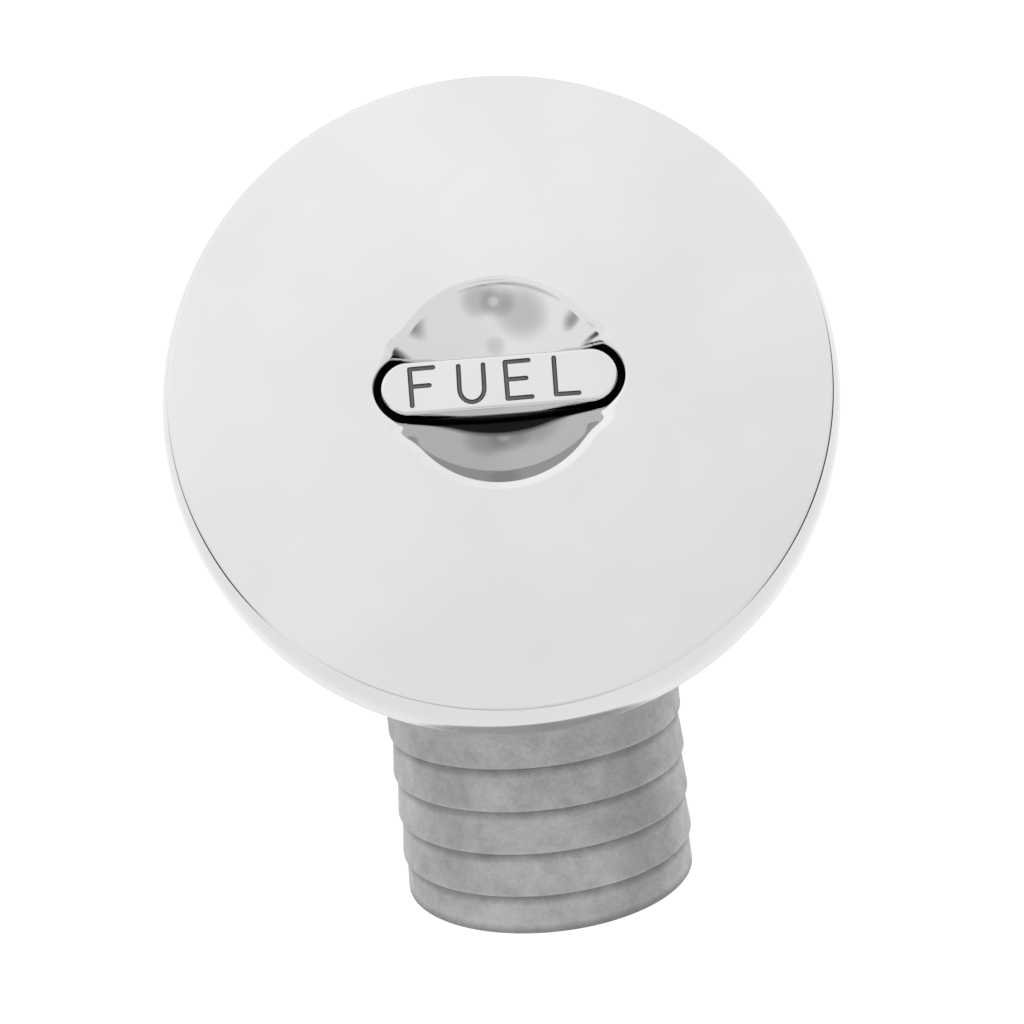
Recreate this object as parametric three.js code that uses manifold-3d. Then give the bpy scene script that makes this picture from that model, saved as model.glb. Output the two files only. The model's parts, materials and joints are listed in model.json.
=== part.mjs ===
// Boat deck fill cap: a cast deck fitting with a slanted hose neck, closed by a polished screw cap
// whose grip bar lies flush in a finger dish and pulls up against two return springs.
//
// Millimetres. The origin is the centre of the flange's underside, where it meets the deck.
// +Z points up out of the deck, the hose neck leans towards -Y, and the grip bar lies along X.

import * as THREE from "three";
import { mergeVertices } from "three/addons/utils/BufferGeometryUtils.js";
import Module from "manifold-3d";

const wasm = await Module();
wasm.setup();

// ---------------------------------------------------------------- driving dimensions

const FIT_GAP = 0.3; // between faces that touch on the real fitting
const ROUND_STEPS = 40; // facets round the large turned faces
const SMALL_STEPS = 16; // facets round pins, screws and bushes
const SHAFT_STEPS = 12; // facets round the holes for the plug's screws
const HOLLOW_STEPS = 72; // facets round the dish and the pocket
const BOWL_STEPS = 5; // levels up the dish's wall
const LIP_STEPS = 3; // levels up the dish's lip
const BALL_STEPS = 6; // facets up the elbow's quarter round
const WIRE_STEPS_PER_TURN = 12;
const WIRE_SIDES = 5;
const THREAD_SIDES = 6;
const POCKET_END_CROWDING = 0.35; // how far those facets crowd towards the pocket's ends
const LEAST_BLEND = 0.02; // where dish and pocket meet at the pocket's floor

// Cap cover: a cast disc, polished, that hides the whole flange.
const TOP_Z = 12;
const TOP_RADIUS = 41.5;
const TOP_EDGE_RADIUS = 0.6;
const RIM_RADIUS = 43.2;
const RIM_WIDEST_Z = 3.85;
const RIM_TAPER_POWER = 3; // how the rim draws in from its widest to the top face
const RIM_LOWER_RADIUS = 6.5;
const COVER_BOTTOM_Z = 2.3;
const COVER_RECESS = { inner: 24.8, outer: 36.8, z: 8.2 };
const GASKET_GROOVE = { inner: 38, outer: 40.8, depth: 1.6 };
const BOSS_RADIUS = 18.4;
const BOSS_BOTTOM_Z = -1;
const PLUG_SEAT_Z = 5;
const CLOSED_TURN = THREE.MathUtils.degToRad(-1.7); // where the thread draws tight, just off square

// Finger dish: a shallow spherical bowl with a soft lip, and the grip bar's deeper pocket across it.
// The corners between the two are ground back, so that from above the hollow looks like an eye.
const DISH_LIP_RADIUS = 14.1;
const DISH_LIP_FILLET = 1.8;
const DISH_DEPTH = 5.4;
const POCKET_LENGTH = 31.5;
const POCKET_WIDTH = 7.7;
const POCKET_FLOOR_Z = 5.4;
const POCKET_EDGE = 0.35;
const CORNER_BLEND = 1.2;
const CORNER_RELIEF = { reach: 1.1, at: 22, spread: 8, power: 1.5 }; // mm, degrees off the bar's line

// Grip bar and the parts that let it rise.
const BAR_LENGTH = 29.8;
const BAR_WIDTH = 6.9;
const BAR_EDGE = 0.5;
const STEM_X = 10.2;
const STEM_RADIUS = 2;
const STEM_TOP_Z = 8.4;
const STEM_BOTTOM_Z = -17.6;
const STEM_CHAMFER = 0.4;
const STEM_GROOVE_DEPTH = 0.5;
const CLIP_Z = -16.2;
const CLIP_THICKNESS = 0.7;
const WASHER_TOP_Z = -14.75;
const WASHER_THICKNESS = 0.75;
const WASHER_RADIUS = 4;
const BUSH_SEAT_RADIUS = 3.3;
const BUSH_SEAT_TOP_Z = 3;
const BUSH_TOP_Z = 1.4;
const BUSH_FLANGE = 0.8;
const BUSH_FIT = 0.25;
const STEM_SEAL = { centreRadius: 2.72, z: 2.15, section: 0.45 };
const CLIP = { inset: 0.3, outer: 3.4, mouth: 35 }; // how far it grips in, its edge, half its gap
const SPRING = { topZ: -2.8, bottomZ: -14.1, meanRadius: 3, wireRadius: 0.4, turns: 6 };

// Threaded plug under the cover: a ring with the thread, a web, and a cup round the springs.
const PLUG_RADIUS = 20.9;
const PLUG_BOTTOM_Z = -9;
const WEB_TOP_Z = -2.2;
const WEB_BOTTOM_Z = -4.6;
const PLUG_CHAMFER = 0.8;
const PLUG_SEAL = { centreRadius: 22.9, z: 3.55, section: 1.2 };
const CUP_WALL = 1;
const CUP_FLOOR = 1.2;
const CUP_HALF_WIDTH = 5.6;
const CUP_BOTTOM_Z = -19.4;
const PLUG_SCREW_OFFSET = 10.6;
const PLUG_SCREW_RADIUS = 1.35;
const PLUG_SCREW_HEAD_RADIUS = 2.8;
const PLUG_SCREW_TOP_Z = 2.9;
const PLUG_SCREW_POINT = 0.5;
const PLUG_SCREW_HOLE_TOP_Z = 3.5;
const HEX_SOCKET = { radius: 1.1, depth: 1.2 };

// Coarse round thread, right-handed.
const THREAD_PITCH = 4;
const THREAD_CENTRE_RADIUS = 21.1;
const BEAD_RADIUS = 1.1;
const BEAD_START_Z = -7.2;
const BEAD_TURNS = 2;
const GROOVE_RADIUS = 1.5;
const THREAD_STEPS_PER_TURN = 24;

// Deck body: flange, threaded throat, ball elbow and ringed hose neck.
const FLANGE_LAND_Z = 4;
const FLANGE_RIM_Z = 2;
const FLANGE_LAND = { inner: 25.3, outer: 36.3 };
const RIM_GASKET = { inner: 38.3, outer: 40.5, thickness: 1.3 };
const THROAT_RADIUS = 21.3;
const THROAT_MOUTH = { flare: 1.8, bottomZ: 1.2 };
const THROAT_BOTTOM_Z = -10.4;
const THROAT_OUTER_RADIUS = 26;
const THROAT_SHOULDER = { radius: 24.6, z: -9 };
const THROAT_WALL_BOTTOM_Z = -5;
const FLANGE_FILLET = 1;
const ELBOW_Z = -12.9;
const ELBOW_OUTER_RADIUS = 22.5;
const ELBOW_INNER_RADIUS = 19;
const NECK_TILT = THREE.MathUtils.degToRad(60); // from straight down, towards -Y
const NECK_RADIUS = 20.5;
const NECK_BORE_RADIUS = 17;
const NECK_LENGTH = 63.8; // from the elbow's centre
const RING_STEP = 0.5;
const RING_PITCH = 6.1;
const RING_COUNT = 4;
const FIRST_RING = 39.9; // from the elbow's centre
const RING_STEP_LENGTH = 0.15;
const NECK_END_FILLET = 0.6;
const DECK_HOLE_RADIUS = 2.6;
const DECK_HOLE_SINK_RADIUS = 5;
const DECK_HOLE_CIRCLE = 31;
const DECK_HOLE_ANGLES = [90, 210, 330];

// ---------------------------------------------------------------- materials

function metal(colour, roughness) {
  return new THREE.MeshStandardMaterial({ color: colour, roughness, metalness: 1 });
}

const materials = {
  polished: metal(0xe4e4e4, 0.05),
  cast: metal(0xa8a8a6, 0.6),
  turned: metal(0xb8b8ba, 0.3),
  spring: metal(0x9a9a9c, 0.35),
  bronze: metal(0xb08a4c, 0.4),
  rubber: new THREE.MeshStandardMaterial({ color: 0x161616, roughness: 0.8, metalness: 0 }),
  fibre: new THREE.MeshStandardMaterial({ color: 0x6d5a45, roughness: 0.9, metalness: 0 }),
};

// ---------------------------------------------------------------- solid helpers

// A closed geometry as a manifold solid, turned face out.
function solid(geometry) {
  const bare = geometry.index ? geometry.toNonIndexed() : geometry.clone();
  bare.deleteAttribute("normal");
  bare.deleteAttribute("uv");
  const merged = mergeVertices(bare, 1e-4);
  const corners = merged.index.array;
  const triangles = [];
  for (let i = 0; i < corners.length; i += 3) {
    const [a, b, c] = corners.slice(i, i + 3);
    if (a !== b && b !== c && a !== c) triangles.push(a, b, c);
  }
  if (signedVolume(merged.attributes.position, triangles) < 0) triangles.reverse();
  return new wasm.Manifold(
    new wasm.Mesh({
      numProp: 3,
      vertProperties: merged.attributes.position.array,
      triVerts: new Uint32Array(triangles),
    }),
  );
}

function signedVolume(position, triangles) {
  const [a, b, c] = [new THREE.Vector3(), new THREE.Vector3(), new THREE.Vector3()];
  let volume = 0;
  for (let i = 0; i < triangles.length; i += 3) {
    a.fromBufferAttribute(position, triangles[i]);
    b.fromBufferAttribute(position, triangles[i + 1]);
    c.fromBufferAttribute(position, triangles[i + 2]);
    volume += a.dot(b.cross(c)) / 6;
  }
  return volume;
}

function cut(body, ...tools) {
  return tools.reduce((rest, tool) => rest.subtract(tool), body);
}

function join(first, ...others) {
  return others.reduce((whole, other) => whole.add(other), first);
}

function part(name, shape, material) {
  const mesh = shape.getMesh();
  const geometry = new THREE.BufferGeometry();
  geometry.setAttribute("position", new THREE.BufferAttribute(mesh.vertProperties, 3));
  geometry.setIndex(new THREE.BufferAttribute(mesh.triVerts, 1));
  geometry.computeVertexNormals();
  const made = new THREE.Mesh(geometry, material);
  made.name = name;
  return made;
}

// Points of an arc in the (radius, height) plane; angles in degrees, 0 pointing outwards.
function arc(centreR, centreZ, radius, from, to, steps) {
  return Array.from({ length: steps + 1 }, (_, i) => {
    const angle = THREE.MathUtils.degToRad(from + ((to - from) * i) / steps);
    return [centreR + radius * Math.cos(angle), centreZ + radius * Math.sin(angle)];
  });
}

// A body of revolution about Z from a profile of [radius, height] points.
function turned(profile, steps = ROUND_STEPS) {
  const points = profile.map(([radius, height]) => new THREE.Vector2(Math.max(radius, 0), height));
  const closesOnAxis = profile[0][0] === 0 && profile[profile.length - 1][0] === 0;
  if (!closesOnAxis) points.push(points[0].clone());
  return new THREE.LatheGeometry(points, steps).rotateX(Math.PI / 2);
}

function ring(inner, outer, bottom, top, steps = ROUND_STEPS) {
  return turned([[inner, bottom], [outer, bottom], [outer, top], [inner, top]], steps);
}

function rod(radius, bottom, top, steps = SMALL_STEPS) {
  return turned([[0, bottom], [radius, bottom], [radius, top], [0, top]], steps);
}

function torus(centreRadius, centreZ, sectionRadius, steps, sectionSteps = 8) {
  return turned(arc(centreRadius, centreZ, sectionRadius, 0, 360, sectionSteps).slice(0, -1), steps);
}

// A flat bar with round ends, along X.
function stadium(length, width, bottom, top) {
  const halfStraight = (length - width) / 2;
  const outline = new THREE.Shape();
  outline.absarc(halfStraight, 0, width / 2, -Math.PI / 2, Math.PI / 2);
  outline.absarc(-halfStraight, 0, width / 2, Math.PI / 2, 1.5 * Math.PI);
  const options = { depth: top - bottom, bevelEnabled: false, curveSegments: SMALL_STEPS / 2 };
  return new THREE.ExtrudeGeometry(outline, options).translate(0, 0, bottom);
}

class Helix extends THREE.Curve {
  constructor(radius, startZ, pitch, turns, startTurn = 0) {
    super();
    Object.assign(this, { radius, startZ, pitch, turns, startTurn });
  }
  getPoint(t, target = new THREE.Vector3()) {
    const turn = this.turns * t;
    const angle = 2 * Math.PI * (this.startTurn + turn);
    const z = this.startZ + this.pitch * turn;
    return target.set(this.radius * Math.cos(angle), this.radius * Math.sin(angle), z);
  }
}

function coil(helix, wireRadius, stepsPerTurn, sides) {
  const section = new THREE.Shape();
  for (let i = 0; i < sides; i += 1) {
    const angle = (2 * Math.PI * i) / sides;
    const corner = [wireRadius * Math.cos(angle), wireRadius * Math.sin(angle)];
    if (i === 0) section.moveTo(...corner);
    else section.lineTo(...corner);
  }
  section.closePath();
  return new THREE.ExtrudeGeometry(section, {
    steps: Math.round(helix.turns * stepsPerTurn),
    extrudePath: helix,
    bevelEnabled: false,
  });
}

// The outer edge shared by the cover's rim and the flange below it.
function rimRadiusAt(z) {
  const rise = z - RIM_WIDEST_Z;
  if (rise > 0) {
    const share = rise / (TOP_Z - RIM_WIDEST_Z);
    return RIM_RADIUS - (RIM_RADIUS - TOP_RADIUS) * share ** RIM_TAPER_POWER;
  }
  return RIM_RADIUS - RIM_LOWER_RADIUS + Math.sqrt(RIM_LOWER_RADIUS ** 2 - rise ** 2);
}

function rimPoints(fromZ, toZ, steps) {
  return Array.from({ length: steps + 1 }, (_, i) => {
    const z = fromZ + ((toZ - fromZ) * i) / steps;
    return [rimRadiusAt(z), z];
  });
}

const sides = [
  { label: "left", sign: -1 },
  { label: "right", sign: 1 },
];

const plugScrewPlaces = [45, 135, 225, 315].map((degrees) => {
  const angle = THREE.MathUtils.degToRad(degrees);
  const reach = PLUG_SCREW_OFFSET * Math.SQRT2;
  return [reach * Math.cos(angle), reach * Math.sin(angle)];
});

// ---------------------------------------------------------------- deck body

function neckOuterProfile() {
  const points = [[0, 0], [ELBOW_INNER_RADIUS + 1, 0], [NECK_RADIUS, FIRST_RING]];
  for (let i = 0; i < RING_COUNT; i += 1) {
    const stepAt = FIRST_RING + i * RING_PITCH;
    const nextAt = i < RING_COUNT - 1 ? stepAt + RING_PITCH : NECK_LENGTH - NECK_END_FILLET;
    points.push([NECK_RADIUS - RING_STEP, stepAt + RING_STEP_LENGTH]);
    points.push([i < RING_COUNT - 1 ? NECK_RADIUS : NECK_RADIUS - RING_STEP / 2, nextAt]);
  }
  const endRadius = NECK_RADIUS - RING_STEP / 2 - NECK_END_FILLET;
  points.push(...arc(endRadius, NECK_LENGTH - NECK_END_FILLET, NECK_END_FILLET, 30, 90, 3));
  points.push([0, NECK_LENGTH]);
  return points;
}

// Neck shapes are drawn along +Z from the elbow's centre, then swung down towards -Y.
function alongNeck(geometry) {
  return geometry.rotateX(Math.PI - NECK_TILT).translate(0, 0, ELBOW_Z);
}

function throatOuter() {
  return turned([
    ...arc(0, ELBOW_Z, ELBOW_OUTER_RADIUS, -90, 0, BALL_STEPS),
    [THROAT_SHOULDER.radius, THROAT_SHOULDER.z],
    [THROAT_OUTER_RADIUS, THROAT_WALL_BOTTOM_Z],
    [THROAT_OUTER_RADIUS, -FLANGE_FILLET],
    [THROAT_OUTER_RADIUS + FLANGE_FILLET, 0],
    ...rimPoints(0, FLANGE_RIM_Z, 2),
    [FLANGE_LAND.outer, FLANGE_RIM_Z],
    [FLANGE_LAND.outer, FLANGE_LAND_Z],
    [FLANGE_LAND.inner, FLANGE_LAND_Z],
    [FLANGE_LAND.inner, FLANGE_RIM_Z],
    [0, FLANGE_RIM_Z],
  ]);
}

function throatInner() {
  const mouthRadius = THROAT_RADIUS + THROAT_MOUTH.flare;
  return turned([
    ...arc(0, ELBOW_Z, ELBOW_INNER_RADIUS, -90, 0, BALL_STEPS),
    [THROAT_RADIUS, THROAT_BOTTOM_Z],
    [THROAT_RADIUS, THROAT_MOUTH.bottomZ],
    [mouthRadius, THROAT_MOUTH.bottomZ + THROAT_MOUTH.flare],
    [mouthRadius, FLANGE_LAND_Z + 1],
    [0, FLANGE_LAND_Z + 1],
  ]);
}

function deckHole(degrees) {
  const angle = THREE.MathUtils.degToRad(degrees);
  const sinkDepth = DECK_HOLE_SINK_RADIUS - DECK_HOLE_RADIUS;
  return turned(
    [
      [0, -1],
      [DECK_HOLE_RADIUS, -1],
      [DECK_HOLE_RADIUS, FLANGE_LAND_Z - sinkDepth],
      [DECK_HOLE_SINK_RADIUS + 1, FLANGE_LAND_Z + 1],
      [0, FLANGE_LAND_Z + 1],
    ],
    SMALL_STEPS,
  ).translate(DECK_HOLE_CIRCLE * Math.cos(angle), DECK_HOLE_CIRCLE * Math.sin(angle), 0);
}

function threadGroove() {
  const leadIn = 2 / THREAD_STEPS_PER_TURN; // of a turn, below the bead's lower end
  const turns = BEAD_TURNS + leadIn + 1;
  const startZ = BEAD_START_Z - leadIn * THREAD_PITCH;
  const path = new Helix(THREAD_CENTRE_RADIUS, startZ, THREAD_PITCH, turns, -leadIn);
  return coil(path, GROOVE_RADIUS, THREAD_STEPS_PER_TURN, THREAD_SIDES);
}

function deckBody() {
  const outer = join(solid(throatOuter()), solid(alongNeck(turned(neckOuterProfile()))));
  const hollow = cut(
    outer,
    solid(throatInner()),
    solid(alongNeck(rod(NECK_BORE_RADIUS, 0, NECK_LENGTH + 2, ROUND_STEPS))),
    solid(threadGroove()),
  );
  const holes = DECK_HOLE_ANGLES.map((degrees) => solid(deckHole(degrees)));
  return part("deck_body", cut(hollow, ...holes), materials.cast);
}

function rimGasket() {
  const { inner, outer, thickness } = RIM_GASKET;
  const bottom = FLANGE_RIM_Z + FIT_GAP;
  return part("rim_gasket", solid(ring(inner, outer, bottom, bottom + thickness)), materials.rubber);
}

// ---------------------------------------------------------------- cap cover

// The bowl is a sphere that touches the lip's fillet where the line between their centres crosses both.
const lipCentreZ = TOP_Z - DISH_LIP_FILLET;
const dishFloorZ = TOP_Z - DISH_DEPTH;
const dishDrop = lipCentreZ - dishFloorZ;
const bowlRadius =
  (DISH_LIP_RADIUS ** 2 + dishDrop ** 2 - DISH_LIP_FILLET ** 2) / (2 * (dishDrop + DISH_LIP_FILLET));
const bowlCentreZ = dishFloorZ + bowlRadius;
const bowlSlope = Math.atan2(bowlCentreZ - lipCentreZ, DISH_LIP_RADIUS);
const bowlTopZ = lipCentreZ + DISH_LIP_FILLET * Math.sin(bowlSlope);

function dishRadiusAt(z) {
  if (z < bowlTopZ) return Math.sqrt(Math.max(bowlRadius ** 2 - (bowlCentreZ - z) ** 2, 0));
  const rise = Math.min(z - lipCentreZ, DISH_LIP_FILLET);
  return DISH_LIP_RADIUS - Math.sqrt(DISH_LIP_FILLET ** 2 - rise ** 2);
}

// How far the pocket's wall is from the centre, at an angle off the bar's line.
function pocketReach(angle, flare) {
  const across = Math.abs(Math.sin(angle));
  const along = Math.abs(Math.cos(angle));
  const radius = POCKET_WIDTH / 2 + flare;
  const endCentre = (POCKET_LENGTH - POCKET_WIDTH) / 2;
  if (across * endCentre >= radius * along) return radius / across;
  return endCentre * along + Math.sqrt(radius ** 2 - (endCentre * across) ** 2);
}

function smoothMax(a, b, blend) {
  const overlap = Math.max(blend - Math.abs(a - b), 0) / blend;
  return Math.max(a, b) + (overlap * overlap * blend) / 4;
}

// One level of the hollow: the pocket's outline, blended into the dish's circle once that is wider.
function hollowOutline(z, wallZ) {
  return Array.from({ length: HOLLOW_STEPS }, (_, i) => {
    const even = (2 * Math.PI * i) / HOLLOW_STEPS;
    const angle = even - POCKET_END_CROWDING * Math.sin(2 * even);
    const flare = Math.max(wallZ - (TOP_Z - POCKET_EDGE), 0);
    const offBar = THREE.MathUtils.radToDeg(Math.asin(Math.abs(Math.sin(angle))));
    const nearCorner = Math.exp(-(((offBar - CORNER_RELIEF.at) / CORNER_RELIEF.spread) ** 2));
    const height = Math.max(wallZ - POCKET_FLOOR_Z, 0) / (TOP_Z - POCKET_FLOOR_Z);
    const relief = CORNER_RELIEF.reach * nearCorner * height ** CORNER_RELIEF.power;
    const blend = CORNER_BLEND * height + LEAST_BLEND;
    const reach = smoothMax(dishRadiusAt(wallZ), pocketReach(angle, flare), blend) + relief;
    return [reach * Math.cos(angle), reach * Math.sin(angle), z];
  });
}

// A closed skin through outlines of equal count, capped flat at both ends.
function loft(outlines) {
  const count = outlines[0].length;
  const last = 1 + (outlines.length - 1) * count;
  const bottomCentre = [0, 0, outlines[0][0][2]];
  const topCentre = [0, 0, outlines[outlines.length - 1][0][2]];
  const points = [bottomCentre, ...outlines.flat(), topCentre];
  const triangles = [];
  for (let i = 0; i < count; i += 1) {
    const next = (i + 1) % count;
    triangles.push(0, 1 + next, 1 + i);
    for (let low = 1; low < last; low += count) {
      const high = low + count;
      triangles.push(low + i, low + next, high + next, low + i, high + next, high + i);
    }
    triangles.push(last + i, last + next, points.length - 1);
  }
  const geometry = new THREE.BufferGeometry();
  geometry.setAttribute("position", new THREE.Float32BufferAttribute(points.flat(), 3));
  geometry.setIndex(triangles);
  return geometry;
}

function dishAndPocket() {
  const bowlEdgeDegrees = THREE.MathUtils.radToDeg(bowlSlope);
  const clearOfPocket = THREE.MathUtils.radToDeg(Math.acos(POCKET_WIDTH / 2 / bowlRadius));
  const bowl = arc(0, bowlCentreZ, bowlRadius, -clearOfPocket, -bowlEdgeDegrees, BOWL_STEPS);
  const lip = arc(0, lipCentreZ, DISH_LIP_FILLET, bowlEdgeDegrees, 90, LIP_STEPS).slice(1);
  const wallLevels = [POCKET_FLOOR_Z, ...bowl.map(([, z]) => z), ...lip.map(([, z]) => z)];
  const outlines = wallLevels.map((z) => hollowOutline(z, z));
  return solid(loft([...outlines, hollowOutline(TOP_Z + 1, TOP_Z)]));
}

function coverBlank() {
  const grooveTop = COVER_BOTTOM_Z + GASKET_GROOVE.depth;
  return turned([
    [0, BOSS_BOTTOM_Z],
    [BOSS_RADIUS, BOSS_BOTTOM_Z],
    [BOSS_RADIUS, PLUG_SEAT_Z],
    [COVER_RECESS.inner, PLUG_SEAT_Z],
    [COVER_RECESS.inner, COVER_RECESS.z],
    [COVER_RECESS.outer, COVER_RECESS.z],
    [COVER_RECESS.outer, COVER_BOTTOM_Z],
    [GASKET_GROOVE.inner, COVER_BOTTOM_Z],
    [GASKET_GROOVE.inner, grooveTop],
    [GASKET_GROOVE.outer, grooveTop],
    [GASKET_GROOVE.outer, COVER_BOTTOM_Z],
    ...rimPoints(COVER_BOTTOM_Z, TOP_Z - TOP_EDGE_RADIUS, 5),
    ...arc(TOP_RADIUS - TOP_EDGE_RADIUS, TOP_Z - TOP_EDGE_RADIUS, TOP_EDGE_RADIUS, 30, 90, 2),
    [0, TOP_Z],
  ]);
}

function stemPassage(x) {
  return join(
    solid(rod(STEM_RADIUS + FIT_GAP, BOSS_BOTTOM_Z - 1, TOP_Z).translate(x, 0, 0)),
    solid(rod(BUSH_SEAT_RADIUS, BOSS_BOTTOM_Z - 1, BUSH_SEAT_TOP_Z).translate(x, 0, 0)),
  );
}

function plugScrewShaft(x, y, bottom, top) {
  return solid(rod(PLUG_SCREW_RADIUS + FIT_GAP, bottom, top, SHAFT_STEPS).translate(x, y, 0));
}

function capCover() {
  const passages = sides.map(({ sign }) => stemPassage(sign * STEM_X));
  const screwHoles = plugScrewPlaces.map(([x, y]) =>
    plugScrewShaft(x, y, BOSS_BOTTOM_Z - 1, PLUG_SCREW_HOLE_TOP_Z),
  );
  const cover = cut(solid(coverBlank()), dishAndPocket(), ...passages, ...screwHoles);
  return part("cap_cover", cover, materials.polished);
}

// ---------------------------------------------------------------- threaded plug

function plugRing() {
  return turned([
    [0, WEB_BOTTOM_Z],
    [BOSS_RADIUS, WEB_BOTTOM_Z],
    [BOSS_RADIUS, PLUG_BOTTOM_Z],
    [PLUG_RADIUS - PLUG_CHAMFER, PLUG_BOTTOM_Z],
    [PLUG_RADIUS, PLUG_BOTTOM_Z + PLUG_CHAMFER],
    [PLUG_RADIUS, PLUG_SEAT_Z - FIT_GAP],
    [BOSS_RADIUS + FIT_GAP, PLUG_SEAT_Z - FIT_GAP],
    [BOSS_RADIUS + FIT_GAP, WEB_TOP_Z],
    [0, WEB_TOP_Z],
  ]);
}

function springCup(inset, bottom, top) {
  const width = 2 * (CUP_HALF_WIDTH - inset);
  return solid(stadium(2 * STEM_X + width, width, bottom, top));
}

function plugScrewHole([x, y]) {
  const shank = PLUG_SCREW_RADIUS + FIT_GAP;
  const head = PLUG_SCREW_HEAD_RADIUS + FIT_GAP;
  const profile = [
    [0, WEB_BOTTOM_Z - 1],
    [head + 1, WEB_BOTTOM_Z - 1],
    [shank, WEB_BOTTOM_Z + head - shank],
    [shank, WEB_TOP_Z + 1],
    [0, WEB_TOP_Z + 1],
  ];
  return solid(turned(profile, SMALL_STEPS).translate(x, y, 0));
}

function threadedPlug() {
  const beadPath = new Helix(THREAD_CENTRE_RADIUS, BEAD_START_Z, THREAD_PITCH, BEAD_TURNS);
  const body = join(
    solid(plugRing()),
    solid(coil(beadPath, BEAD_RADIUS, THREAD_STEPS_PER_TURN, THREAD_SIDES)),
    springCup(0, CUP_BOTTOM_Z, WEB_TOP_Z - FIT_GAP),
  );
  const hollow = cut(
    body,
    springCup(CUP_WALL, CUP_BOTTOM_Z + CUP_FLOOR, WEB_TOP_Z + 1),
    ...plugScrewPlaces.map(plugScrewHole),
  );
  return part("threaded_plug", hollow, materials.turned);
}

function plugGasket() {
  const top = BOSS_BOTTOM_Z - FIT_GAP;
  const disc = solid(rod(BOSS_RADIUS - FIT_GAP, WEB_TOP_Z + FIT_GAP, top, ROUND_STEPS));
  const holes = plugScrewPlaces.map(([x, y]) => plugScrewShaft(x, y, WEB_TOP_Z - 1, top + 1));
  return part(
    "plug_gasket",
    cut(disc, springCup(CUP_WALL, WEB_TOP_Z - 1, top + 1), ...holes),
    materials.fibre,
  );
}

function plugORing() {
  const { centreRadius, z, section } = PLUG_SEAL;
  return part("plug_o_ring", solid(torus(centreRadius, z, section, ROUND_STEPS)), materials.rubber);
}

function plugScrew([x, y], index) {
  const cone = PLUG_SCREW_HEAD_RADIUS - PLUG_SCREW_RADIUS;
  const profile = [
    [0, WEB_BOTTOM_Z],
    [PLUG_SCREW_HEAD_RADIUS, WEB_BOTTOM_Z],
    [PLUG_SCREW_RADIUS, WEB_BOTTOM_Z + cone],
    [PLUG_SCREW_RADIUS, PLUG_SCREW_TOP_Z - PLUG_SCREW_POINT],
    [PLUG_SCREW_RADIUS - PLUG_SCREW_POINT, PLUG_SCREW_TOP_Z],
    [0, PLUG_SCREW_TOP_Z],
  ];
  const socketTop = WEB_BOTTOM_Z + HEX_SOCKET.depth;
  const socket = solid(rod(HEX_SOCKET.radius, WEB_BOTTOM_Z - 1, socketTop, 6));
  const screw = cut(solid(turned(profile, SMALL_STEPS)), socket).translate([x, y, 0]);
  return part("plug_screw_" + (index + 1), screw, materials.turned);
}

// ---------------------------------------------------------------- grip bar and its return parts

function gripBar() {
  const bottom = POCKET_FLOOR_Z + FIT_GAP;
  const inset = 2 * BAR_EDGE;
  const outline = solid(stadium(BAR_LENGTH, BAR_WIDTH, bottom, TOP_Z - BAR_EDGE));
  const crown = solid(stadium(BAR_LENGTH - inset, BAR_WIDTH - inset, bottom, TOP_Z));
  const sockets = sides.map(({ sign }) => {
    const socket = rod(STEM_RADIUS + FIT_GAP / 2, bottom - 1, STEM_TOP_Z + FIT_GAP);
    return solid(socket.translate(sign * STEM_X, 0, 0));
  });
  return part("grip_bar", cut(join(outline, crown), ...sockets), materials.polished);
}

function handleStem({ label, sign }) {
  const grooveRadius = STEM_RADIUS - STEM_GROOVE_DEPTH;
  const grooveBottom = CLIP_Z - CLIP_THICKNESS / 2 - FIT_GAP / 2;
  const grooveTop = CLIP_Z + CLIP_THICKNESS / 2 + FIT_GAP / 2;
  const stem = turned(
    [
      [0, STEM_BOTTOM_Z],
      [STEM_RADIUS - STEM_CHAMFER, STEM_BOTTOM_Z],
      [STEM_RADIUS, STEM_BOTTOM_Z + STEM_CHAMFER],
      [STEM_RADIUS, grooveBottom],
      [grooveRadius, grooveBottom],
      [grooveRadius, grooveTop],
      [STEM_RADIUS, grooveTop],
      [STEM_RADIUS, STEM_TOP_Z - STEM_CHAMFER],
      [STEM_RADIUS - STEM_CHAMFER, STEM_TOP_Z],
      [0, STEM_TOP_Z],
    ],
    SMALL_STEPS,
  ).translate(sign * STEM_X, 0, 0);
  return part("handle_stem_" + label, solid(stem), materials.turned);
}

function stemBush({ label, sign }) {
  const bore = STEM_RADIUS + BUSH_FIT;
  const flangeTop = BOSS_BOTTOM_Z - FIT_GAP;
  const sleeve = BUSH_SEAT_RADIUS - BUSH_FIT;
  const bush = turned(
    [
      [bore, flangeTop - BUSH_FLANGE],
      [WASHER_RADIUS, flangeTop - BUSH_FLANGE],
      [WASHER_RADIUS, flangeTop],
      [sleeve, flangeTop],
      [sleeve, BUSH_TOP_Z],
      [bore, BUSH_TOP_Z],
    ],
    SMALL_STEPS,
  ).translate(sign * STEM_X, 0, 0);
  return part("stem_bush_" + label, solid(bush), materials.bronze);
}

function stemORing({ label, sign }) {
  const { centreRadius, z, section } = STEM_SEAL;
  const seal = torus(centreRadius, z, section, SMALL_STEPS, 6).translate(sign * STEM_X, 0, 0);
  return part("stem_o_ring_" + label, solid(seal), materials.rubber);
}

function returnSpring({ label, sign }) {
  const pitch = (SPRING.topZ - SPRING.bottomZ) / SPRING.turns;
  const path = new Helix(SPRING.meanRadius, SPRING.bottomZ, pitch, SPRING.turns);
  const wound = coil(path, SPRING.wireRadius, WIRE_STEPS_PER_TURN, WIRE_SIDES);
  const spring = wound.translate(sign * STEM_X, 0, 0);
  return part("return_spring_" + label, solid(spring), materials.spring);
}

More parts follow.
